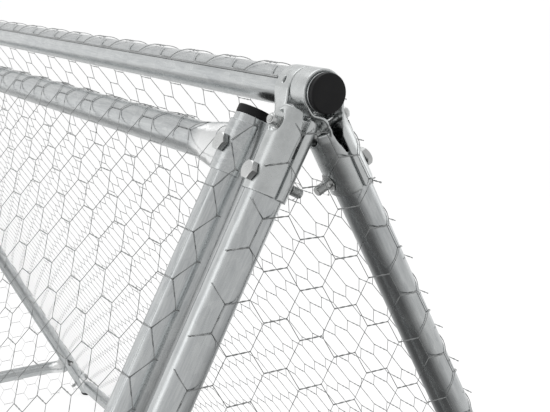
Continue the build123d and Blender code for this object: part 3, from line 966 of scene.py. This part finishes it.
def rounded_rim(radius, top, rim, arc):
    """Profile points of a rounded rim, at the given degrees from its side to its top."""
    return [(radius - rim * (1 - math.cos(angle)), top - rim * (1 - math.sin(angle)))
            for angle in map(math.radians, arc)]


def lock_nut_blank(low):
    """Small nut with a rounded collar along Z."""
    top = low + small_nut + collar_h
    inside = low + small_nut / 2
    block = hexagon("lock_nut", small_flats, low, low + small_nut, ("low", "high"))
    profile = [(0.0, inside), (collar_r, inside), (collar_r, top - collar_round)]
    profile += rounded_rim(collar_r, top, collar_round, collar_arc)
    profile += [(0.0, top)]
    return bored(boolean(block, "UNION", turned("collar", profile)), small_r, low, top)


def set_out(name, blank, places, body, finish, node, smooth=crisp_angle):
    """Copies one modelled piece to all its places, as one object, and hands it over."""
    copies = []
    for place in places:
        piece = new_object(name, blank.data.copy())
        piece.data.transform(place)
        copies.append(piece)
    bpy.data.objects.remove(blank)
    whole = joined(name, copies)
    bpy.ops.object.shade_smooth_by_angle(angle=smooth)
    hand_over(whole, body, finish, node)


def set_fasteners(kind, node, blank, places, body):
    """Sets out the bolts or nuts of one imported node."""
    set_out(f"{kind}_{node}", blank, places, body, fastener_zinc, node)


def large_bolts(bolts, nuts, seat, nut_seat, places, body):
    """Large bolts and nuts at their places: the head outside, the nut inside."""
    end = nut_seat - bolt_nut - thread_out
    bolt = bolt_blank(bolt_r, bolt_flats, bolt_head, bolt_pitch, seat, nut_seat - bolt_nut / 2, end)
    set_fasteners("hex", bolts, bolt, places, body)
    nut = nut_blank(bolt_r, bolt_flats, nut_seat - bolt_nut, nut_seat)
    set_fasteners("hex", nuts, nut, places, body)


def small_bolts(bolts, nuts, seat, nut_seat, places, body):
    """Small bolts with lock nuts at their places: the head on the seat, the nut below."""
    end = nut_seat - small_nut - collar_h - small_thread_out
    bolt = bolt_blank(small_r, small_flats, small_head, small_pitch, seat, nut_seat - small_nut, end)
    set_fasteners("hex", bolts, bolt, places, body)
    nut = lock_nut_blank(-nut_seat)
    nut.data.transform(Matrix.Rotation(math.pi, 4, "X"))
    set_fasteners("lock", nuts, nut, places, body)


legs = [(side, end) for end in (-1, 1) for side in (-1, 1)]
inward = Matrix.Rotation(math.pi, 4, "X")
gable_bolt_s = gable_rail_s - seat_r * math.tan(half_apex)
lower_places = [slope_frame(side, end * leg_y, lower_bolt) for side, end in legs]
upper_places = [slope_frame(side, end * leg_y, upper_bolt) @ inward for side, end in legs]
rail_places = [slope_frame(side, end * leg_y, side_rail_s) for side, end in legs]
rail_places += [gable_frame(side, end, gable_bolt_s) for side, end in legs]
door_places = [slope_frame(-1, end * stile_y, s) for end in (-1, 1) for s in (door_top_s, door_bottom_s)]
latch_places = [slope_frame(-1, end * leg_y, latch_s) for end in (-1, 1)]
hinge_places = [slope_frame(-1, y, hinge_bolt_s) for y in (-hinge_y, 0.0, hinge_y)]
large_bolts("bracket_bolts_lower", "bracket_nuts_lower", tail_r, -tail_r, lower_places, "frame")
small_bolts("bracket_bolts_upper", "bracket_nuts_upper", upper_head_seat, -upper_nut_seat,
            upper_places, "frame")
large_bolts("rail_bolts", "rail_nuts", saddle_r, -seat_r, rail_places, "frame")
large_bolts("door_bolts", "door_nuts", saddle_r, -seat_r, door_places, "door")
large_bolts("latch_pivots", "latch_nuts", pivot_seat, -tail_r, latch_places, "frame")
small_bolts("hinge_bolts", "hinge_nuts", hinge_seat, -hinge_seat, hinge_places, "door")


def cap_blank(head):
    """Moulded end cap along Z: rounded head up, plug down, and a fine groove where it meets the tube."""
    profile = [(0.0, head - cap_dish), (cap_dish_share * cap_r, head - cap_dish_rim)]
    profile += rounded_rim(cap_r, head, cap_round, cap_arc)
    profile += [(cap_r, cap_lip), (cap_r - cap_lip / 2, cap_lip / 3), (cap_r - cap_lip, 0.0)]
    profile += [(cap_plug_r, 0.0), (cap_plug_r, cap_plug_bevel - cap_plug)]
    profile += [(cap_plug_r - cap_plug_bevel, -cap_plug), (0.0, -cap_plug)]
    return turned("cap", profile, cap_steps)


def set_cap(name, node, head, place, outward, body):
    """Puts an end cap on a tube's end, facing outward."""
    facing = Vector(outward).to_track_quat("Z", "Y").to_matrix().to_4x4()
    facing.translation = Vector(place)
    set_out(name, cap_blank(head), [facing], body, cap_plastic, node, smooth_angle)


for end, tag in ends:
    set_cap(f"ridge_end_cap_{tag}", f"ridge_cap_{tag}", ridge_cap_head,
            (0.0, end * ridge_end, ridge_height), (0.0, end, 0.0), "frame")
    for s, up, where in ((stile_top_s, 1, "top"), (stile_bottom_s, -1, "bottom")):
        tube_end = slope_frame(-1, end * stile_y, s)
        set_cap(f"stile_end_cap_{tag}_{where}", f"door_cap_{tag}_{where}", stile_cap_head,
                tube_end.translation, -up * tube_end.to_3x3().col[0], "door")


def merged_copy(name, node):
    """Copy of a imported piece's mesh with its doubles merged."""
    piece = new_object(name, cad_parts[node].data.copy())
    with editing(piece):
        bpy.ops.mesh.remove_doubles(threshold=same_point)
        bpy.ops.mesh.customdata_custom_splitnormals_clear()
    return piece


def rounded_tube(node, body, edge_round):
    """A tube or rail with its cut edges rounded."""
    tube = merged_copy("rounded_" + node, node)
    with editing(tube):
        bpy.ops.mesh.dissolve_limited(angle_limit=flat_angle)
    modify(tube, "BEVEL", width=edge_round, segments=round_segments, limit_method="ANGLE",
           angle_limit=sharp_angle, use_clamp_overlap=False)
    bpy.ops.object.shade_smooth_by_angle(angle=smooth_angle)
    modify(tube, "WEIGHTED_NORMAL", mode="FACE_AREA", keep_sharp=True)
    hand_over(tube, body, finish_for(node), node)


for rail in ("door_top_rail", "door_bottom_rail"):
    rounded_tube(rail, "door", saddle_round)
for rail in ("base_rail_front", "base_rail_rear", "base_rail_right", "sill_rail_left"):
    rounded_tube(rail, "frame", saddle_round)
rounded_tube("ridge_tube", "frame", rim_round)
for stile in ("door_stile_front", "door_stile_rear"):
    rounded_tube(stile, "door", rim_round)


def softened(name, node):
    """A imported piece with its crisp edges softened, as pressing or moulding leaves them."""
    blank = merged_copy(name, node)
    modify(blank, "REMESH", mode="VOXEL", voxel_size=sheet_voxel)
    modify(blank, "SMOOTH", factor=sheet_ease, iterations=sheet_rounds)
    return blank


def press_bracket(blank):
    """Eases a ridge bracket's strap where it leaves the ridge and fills out its shoulder."""
    for vertex in blank.data.vertices:
        s, across, out = vertex.co
        if out < 0 and across < 0:
            eased = strap_ease * within(s, strap_middle, strap_middle, strap_half)
            step = step_rise * within(s, step_middle, step_middle, step_half)
            raised = step * smooth_step(-across, *step_across)
            vertex.co.z += raised - eased * smooth_step(-out, *strap_depth)
        if out > 0 and across > 0:
            rise = shoulder_rise * (1 - smooth_step(s, shoulder_top, shoulder_top + shoulder_run))
            corner = 1 - shoulder_fall * max(across - shoulder_corner, 0.0)
            vertex.co.x -= rise * corner * smooth_step(across, *shoulder_across)


def copies_of(blank, home, rows, finish):
    """Thins a modelled piece and copies it from its home to each row: name, node, body and place."""
    modify(blank, "DECIMATE", ratio=sheet_keep)
    for name, node, body, place in rows:
        piece = new_object(name, blank.data.copy())
        piece.data.transform(place @ home.inverted())
        bpy.ops.object.shade_smooth()
        hand_over(piece, body, finish, node)
    bpy.data.objects.remove(blank)


def leg_rows(name, node):
    """Rows for a piece on each of the four legs."""
    rows = []
    for side, hand in hands:
        for end, tag in ends:
            place = slope_frame(side, end * leg_y, 0.0)
            rows.append((f"{name}_{tag}_{hand}", f"{node}_{tag}_{hand}", "frame", place))
    return rows


def strap_rows(half):
    """Rows for one half of the three hinge straps."""
    rows = []
    for number in (1, 2, 3):
        place = slope_frame(-1, (number - 2) * hinge_y, 0.0)
        rows.append((f"pressed_strap_{half}_{number}", f"hinge_strap_{half}_{number}", "door", place))
    return rows


def latch_rows(part, riding, rear_turn):
    """Rows for a part of both latches, which rides with its bar or stays on the frame."""
    rows = []
    for end, tag in ends:
        body = f"latch_{tag}" if riding else "frame"
        turn = Matrix.Rotation(rear_turn if end > 0 else 0.0, 4, "Z")
        place = slope_frame(-1, end * leg_y, latch_s) @ turn
        rows.append((f"pressed_latch_{part}_{tag}", f"latch_{part}_{tag}", body, place))
    return rows


first_leg = slope_frame(-1, -leg_y, 0.0)
first_hinge = slope_frame(-1, -hinge_y, 0.0)
first_latch = slope_frame(-1, -leg_y, latch_s)
bracket = softened("pressed_bracket", "ridge_bracket_front_left")
bracket.data.transform(first_leg.inverted())
press_bracket(bracket)
copies_of(bracket, Matrix.Identity(4), leg_rows("pressed_bracket", "ridge_bracket"),
          bracket_zinc)
copies_of(softened("moulded_foot", "foot_front_left"), first_leg, leg_rows("moulded_foot", "foot"),
          cap_plastic)
for half in ("outer", "inner"):
    copies_of(softened("pressed_strap", f"hinge_strap_{half}_1"), first_hinge, strap_rows(half),
              bracket_zinc)
for part, riding, rear_turn in (("bar", True, 0.0), ("saddle", False, 0.0), ("stop", False, math.pi)):
    copies_of(softened("pressed_latch", f"latch_{part}_front"), first_latch,
              latch_rows(part, riding, rear_turn), bracket_zinc)


def add_camera():
    """The photograph's camera, placed from the ridge's front end."""
    apex = Vector((0.0, -leg_y, ridge_height))
    ahead = Vector((-math.sin(view_azimuth) * math.cos(view_elevation),
                    math.cos(view_azimuth) * math.cos(view_elevation),
                    -math.sin(view_elevation)))
    right = ahead.cross(Vector((0.0, 0.0, 1.0))).normalized()
    up = right.cross(ahead)
    place = apex - ahead * view_apex_distance + right * view_right + up * view_up
    turn = Matrix((right, up, -ahead)).transposed()
    bpy.ops.object.camera_add(location=place, rotation=turn.to_euler())
    camera = bpy.context.object
    camera.data.sensor_width = sensor_width
    camera.data.lens = view_focal_pixels * sensor_width / photo_width
    bpy.context.scene.camera = camera


def add_softbox(name, place, target, size, power):
    """A rectangular soft light that faces a point."""
    bpy.ops.object.light_add(type="AREA", location=place)
    light = bpy.context.object
    light.name = name
    light.data.shape = "RECTANGLE"
    light.data.size = size[0]
    light.data.size_y = size[1]
    light.data.energy = power
    light.rotation_euler = (Vector(target) - Vector(place)).to_track_quat("-Z", "Y").to_euler()


def ray_kinds(bench):
    """Whether a surface is seen directly, and whether it is mirrored."""
    rays = bench.add("ShaderNodeLightPath").outputs
    seen = bench.reckon("MAXIMUM", rays["Is Camera Ray"], rays["Is Transmission Ray"])
    return seen, rays["Is Glossy Ray"]


def add_floor():
    """A pale floor: white to the camera, with a darker mat round the object in what metal mirrors."""
    bpy.ops.mesh.primitive_plane_add(size=2 * floor_reach)
    floor = bpy.context.object
    floor.name = "studio_floor"
    material, shader, bench = new_finish("studio_floor")
    shader.inputs["Roughness"].default_value = floor_rough
    shader.inputs["Specular IOR Level"].default_value = 0.0
    place = bench.add("ShaderNodeTexCoord").outputs["Object"]

    def dark_spot(centre, tone, span):
        offset = bench.add("ShaderNodeVectorMath", {0: place, 1: centre}, operation="DISTANCE")
        return bench.ramp(offset.outputs["Value"], (tone, 1.0), span)

    mat = dark_spot(mat_centre, mat_tone, mat_span)
    patch = dark_spot(patch_centre, patch_tone, patch_span)
    front = bench.ramp(bench.axis("Y"), (front_tone, rear_tone), floor_depth)
    mirrored = bench.reckon("MULTIPLY", bench.reckon("MULTIPLY", mat, patch), front)
    seen, glossy = ray_kinds(bench)
    shade = bench.reckon("MAXIMUM", bench.reckon("SUBTRACT", 1.0, glossy), mirrored)
    grey = (floor_tone, floor_tone, floor_tone, 1.0)
    bench.link(bench.mix(shade, black, grey), shader, "Base Color")
    glow_seen = bench.reckon("MULTIPLY", seen, floor_white)
    glow_mirrored = bench.reckon("MULTIPLY", glossy, bench.reckon("MULTIPLY", mirrored, floor_white))
    shader.inputs["Emission Color"].default_value = white
    bench.link(bench.reckon("ADD", glow_seen, glow_mirrored), shader, "Emission Strength")
    floor.data.materials.append(material)


def set_world():
    """A white backdrop to the eye, greyer on the camera's side in metal, and a plain soft light."""
    world = bpy.context.scene.world or bpy.data.worlds.new("studio")
    bpy.context.scene.world = world
    world.use_nodes = True
    background = world.node_tree.nodes["Background"]
    bench = NodeBench(world.node_tree)
    seen, glossy = ray_kinds(bench)
    front = bench.ramp(bench.axis("Y", "Generated"), (front_tone, rear_tone), sky_depth)
    height = bench.ramp(bench.axis("Z", "Generated"), (1.0, zenith_tone), sky_rise)
    mirrored = bench.reckon("MULTIPLY", glossy, bench.reckon("MULTIPLY", front, height))
    unseen = bench.reckon("SUBTRACT", 1.0, bench.reckon("ADD", seen, glossy))
    soft_light = bench.reckon("MULTIPLY", unseen, sky_level)
    level = bench.reckon("ADD", bench.reckon("ADD", seen, mirrored), soft_light)
    background.inputs["Color"].default_value = white
    bench.link(level, background, "Strength")


bpy.ops.object.select_all(action="DESELECT")
add_camera()
add_floor()
set_world()
for softbox, settings in softboxes.items():
    add_softbox(softbox, *settings)
bpy.context.scene.view_settings.view_transform = "Standard"
